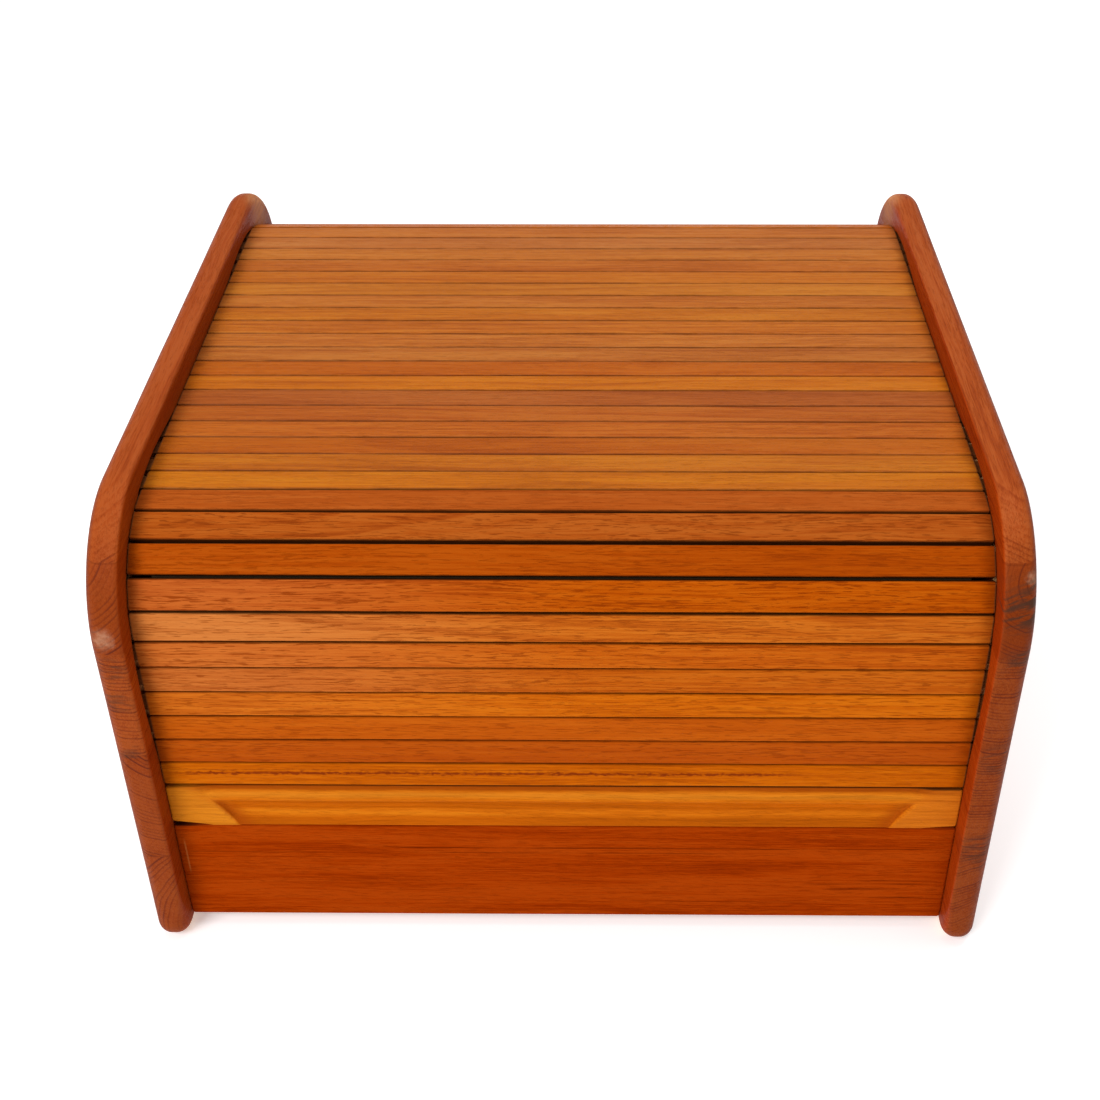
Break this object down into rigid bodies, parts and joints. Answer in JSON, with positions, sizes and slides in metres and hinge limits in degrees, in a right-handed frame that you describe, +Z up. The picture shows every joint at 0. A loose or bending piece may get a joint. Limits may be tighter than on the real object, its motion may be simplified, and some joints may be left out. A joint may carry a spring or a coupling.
{
  "type": "bread bin",
  "caption": "Wooden roll-top bread bin: rounded side panels, a slatted tambour that slides up and back in side grooves, a front rail and an open store inside.",
  "frame": {"origin": "centre of the footprint, at the height of the surface the sides stand on", "axes": "+Z up, the front with the handle and rail faces -Y, +X to the right as seen from the front"},
  "size_m": [0.4, 0.396, 0.241],
  "materials": {
    "teak_case": "oiled satin teak, reddish brown",
    "teak_rail": "oiled satin teak, dark red brown",
    "teak_slat": "oiled satin teak, orange brown",
    "teak_slat_dark": "oiled satin teak, darker slats",
    "teak_handle": "oiled satin teak, golden",
    "teak_ply": "teak-faced plywood, matt oil",
    "canvas_brown": "plain-woven cotton canvas, dark brown",
    "beech_dowel": "plain beech, unfinished"
  },
  "bodies": {
    "case": {"side_left": "teak_case", "side_right": "teak_case", "front_rail": "teak_rail", "floor_panel": "teak_ply", "back_board": "teak_case", "inner_back": "teak_ply", "rail_dowel_left_lower": "beech_dowel", "rail_dowel_left_upper": "beech_dowel", "rail_dowel_right_lower": "beech_dowel", "rail_dowel_right_upper": "beech_dowel", "tambour_canvas": "canvas_brown"},
    "handle": {"handle_slat": "teak_handle"},
    "slat_01": {"slat_01": "teak_slat"},
    "slat_02": {"slat_02": "teak_slat_dark"},
    "slat_03": {"slat_03": "teak_slat"},
    "slat_04": {"slat_04": "teak_slat"},
    "slat_05": {"slat_05": "teak_slat_dark"},
    "slat_06": {"slat_06": "teak_slat"},
    "slat_07": {"slat_07": "teak_slat"},
    "slat_08": {"slat_08": "teak_slat_dark"},
    "slat_09": {"slat_09": "teak_slat"},
    "slat_10": {"slat_10": "teak_slat"},
    "slat_11": {"slat_11": "teak_slat_dark"},
    "top_slats": {"slat_12": "teak_slat", "slat_13": "teak_slat", "slat_14": "teak_slat_dark", "slat_15": "teak_slat", "slat_16": "teak_slat", "slat_17": "teak_slat_dark", "slat_18": "teak_slat", "slat_19": "teak_slat", "slat_20": "teak_slat_dark", "slat_21": "teak_slat", "slat_22": "teak_slat", "slat_23": "teak_slat_dark"},
    "slat_24": {"slat_24": "teak_slat"},
    "slat_25": {"slat_25": "teak_slat"},
    "slat_26": {"slat_26": "teak_slat_dark"},
    "slat_27": {"slat_27": "teak_slat"},
    "slat_28": {"slat_28": "teak_slat"},
    "slat_29": {"slat_29": "teak_slat_dark"},
    "slat_30": {"slat_30": "teak_slat"},
    "slat_31": {"slat_31": "teak_slat"},
    "slat_32": {"slat_32": "teak_slat_dark"},
    "slat_33": {"slat_33": "teak_slat"},
    "slat_34": {"slat_34": "teak_slat"},
    "tail_slats": {"slat_35": "teak_slat_dark"}
  },
  "joints": [
    {"name": "tambour_slide", "type": "slide", "parent": "case", "child": "handle", "axis": [0, 0, 1], "range_m": [0, 0.0852], "deforming": ["tambour_canvas"]},
    {"name": "slat_01_turn", "type": "hinge", "parent": "case", "child": "slat_01", "pos_m": [0, 0.55279, 0.13895], "axis": [-1, 0, 0], "range_deg": [0, 6.64]},
    {"name": "slat_02_turn", "type": "hinge", "parent": "case", "child": "slat_02", "pos_m": [0, 0.00076, 0.14959], "axis": [-1, 0, 0], "range_deg": [0, 26.33]},
    {"name": "slat_03_turn", "type": "hinge", "parent": "case", "child": "slat_03", "pos_m": [0, -0.0804, 0.1573], "axis": [-1, 0, 0], "range_deg": [0, 46.37]},
    {"name": "slat_04_turn", "type": "hinge", "parent": "case", "child": "slat_04", "pos_m": [0, -0.11237, 0.16465], "axis": [-1, 0, 0], "range_deg": [0, 66.41]},
    {"name": "slat_05_turn", "type": "hinge", "parent": "case", "child": "slat_05", "pos_m": [0, -0.12807, 0.17158], "axis": [-1, 0, 0], "range_deg": [0, 85.4]},
    {"name": "slat_06_turn", "type": "hinge", "parent": "case", "child": "slat_06", "pos_m": [0, -0.13048, 0.17348], "axis": [-1, 0, 0], "range_deg": [0, 90]},
    {"name": "slat_07_turn", "type": "hinge", "parent": "case", "child": "slat_07", "pos_m": [0, -0.12781, 0.16981], "axis": [-1, 0, 0], "range_deg": [0, 83.36]},
    {"name": "slat_08_turn", "type": "hinge", "parent": "case", "child": "slat_08", "pos_m": [0, -0.12066, 0.15223], "axis": [-1, 0, 0], "range_deg": [0, 63.67]},
    {"name": "slat_09_turn", "type": "hinge", "parent": "case", "child": "slat_09", "pos_m": [0, -0.11328, 0.1167], "axis": [-1, 0, 0], "range_deg": [0, 43.63]},
    {"name": "slat_10_turn", "type": "hinge", "parent": "case", "child": "slat_10", "pos_m": [0, -0.10547, 0.02051], "axis": [-1, 0, 0], "range_deg": [0, 23.59]},
    {"name": "slat_11_turn", "type": "hinge", "parent": "case", "child": "slat_11", "pos_m": [0, -0.09402, -0.83631], "axis": [-1, 0, 0], "range_deg": [0, 4.6]},
    {"name": "top_slats_slide", "type": "slide", "parent": "case", "child": "top_slats", "axis": [0, 1, 0], "range_m": [0, 0.0852]},
    {"name": "slat_24_turn", "type": "hinge", "parent": "case", "child": "slat_24", "pos_m": [0, 0.07638, -2.34681], "axis": [-1, 0, 0], "range_deg": [0, 1.9]},
    {"name": "slat_25_turn", "type": "hinge", "parent": "case", "child": "slat_25", "pos_m": [0, 0.08915, -0.03352], "axis": [-1, 0, 0], "range_deg": [0, 18.73]},
    {"name": "slat_26_turn", "type": "hinge", "parent": "case", "child": "slat_26", "pos_m": [0, 0.09726, 0.1025], "axis": [-1, 0, 0], "range_deg": [0, 38.77]},
    {"name": "slat_27_turn", "type": "hinge", "parent": "case", "child": "slat_27", "pos_m": [0, 0.10469, 0.14591], "axis": [-1, 0, 0], "range_deg": [0, 58.82]},
    {"name": "slat_28_turn", "type": "hinge", "parent": "case", "child": "slat_28", "pos_m": [0, 0.11196, 0.16669], "axis": [-1, 0, 0], "range_deg": [0, 78.86]},
    {"name": "slat_29_turn", "type": "hinge", "parent": "case", "child": "slat_29", "pos_m": [0, 0.11628, 0.17348], "axis": [-1, 0, 0], "range_deg": [0, 89.97]},
    {"name": "slat_30_turn", "type": "hinge", "parent": "case", "child": "slat_30", "pos_m": [0, 0.11538, 0.17267], "axis": [-1, 0, 0], "range_deg": [0, 88.1]},
    {"name": "slat_31_turn", "type": "hinge", "parent": "case", "child": "slat_31", "pos_m": [0, 0.10311, 0.16641], "axis": [-1, 0, 0], "range_deg": [0, 71.27]},
    {"name": "slat_32_turn", "type": "hinge", "parent": "case", "child": "slat_32", "pos_m": [0, 0.07631, 0.1591], "axis": [-1, 0, 0], "range_deg": [0, 51.23]},
    {"name": "slat_33_turn", "type": "hinge", "parent": "case", "child": "slat_33", "pos_m": [0, 0.01425, 0.15153], "axis": [-1, 0, 0], "range_deg": [0, 31.18]},
    {"name": "slat_34_turn", "type": "hinge", "parent": "case", "child": "slat_34", "pos_m": [0, -0.269, 0.14236], "axis": [-1, 0, 0], "range_deg": [0, 11.14]},
    {"name": "tail_slats_slide", "type": "slide", "parent": "case", "child": "tail_slats", "axis": [0, 0, -1], "range_m": [0, 0.0852]}
  ],
  "couplings": [
    {"joint": "slat_01_turn", "follows": "tambour_slide", "rad_per_m": 1.3594},
    {"joint": "slat_02_turn", "follows": "tambour_slide", "rad_per_m": 5.3931},
    {"joint": "slat_03_turn", "follows": "tambour_slide", "rad_per_m": 9.499},
    {"joint": "slat_04_turn", "follows": "tambour_slide", "rad_per_m": 13.605},
    {"joint": "slat_05_turn", "follows": "tambour_slide", "rad_per_m": 17.495},
    {"joint": "slat_06_turn", "follows": "tambour_slide", "rad_per_m": 18.437},
    {"joint": "slat_07_turn", "follows": "tambour_slide", "rad_per_m": 17.077},
    {"joint": "slat_08_turn", "follows": "tambour_slide", "rad_per_m": 13.043},
    {"joint": "slat_09_turn", "follows": "tambour_slide", "rad_per_m": 8.9376},
    {"joint": "slat_10_turn", "follows": "tambour_slide", "rad_per_m": 4.8317},
    {"joint": "slat_11_turn", "follows": "tambour_slide", "rad_per_m": 0.94173},
    {"joint": "top_slats_slide", "follows": "tambour_slide", "ratio": 1},
    {"joint": "slat_24_turn", "follows": "tambour_slide", "rad_per_m": 0.3888},
    {"joint": "slat_25_turn", "follows": "tambour_slide", "rad_per_m": 3.8368},
    {"joint": "slat_26_turn", "follows": "tambour_slide", "rad_per_m": 7.9426},
    {"joint": "slat_27_turn", "follows": "tambour_slide", "rad_per_m": 12.049},
    {"joint": "slat_28_turn", "follows": "tambour_slide", "rad_per_m": 16.154},
    {"joint": "slat_29_turn", "follows": "tambour_slide", "rad_per_m": 18.43},
    {"joint": "slat_30_turn", "follows": "tambour_slide", "rad_per_m": 18.048},
    {"joint": "slat_31_turn", "follows": "tambour_slide", "rad_per_m": 14.6},
    {"joint": "slat_32_turn", "follows": "tambour_slide", "rad_per_m": 10.494},
    {"joint": "slat_33_turn", "follows": "tambour_slide", "rad_per_m": 6.388},
    {"joint": "slat_34_turn", "follows": "tambour_slide", "rad_per_m": 2.2822},
    {"joint": "tail_slats_slide", "follows": "tambour_slide", "ratio": 1}
  ]
}
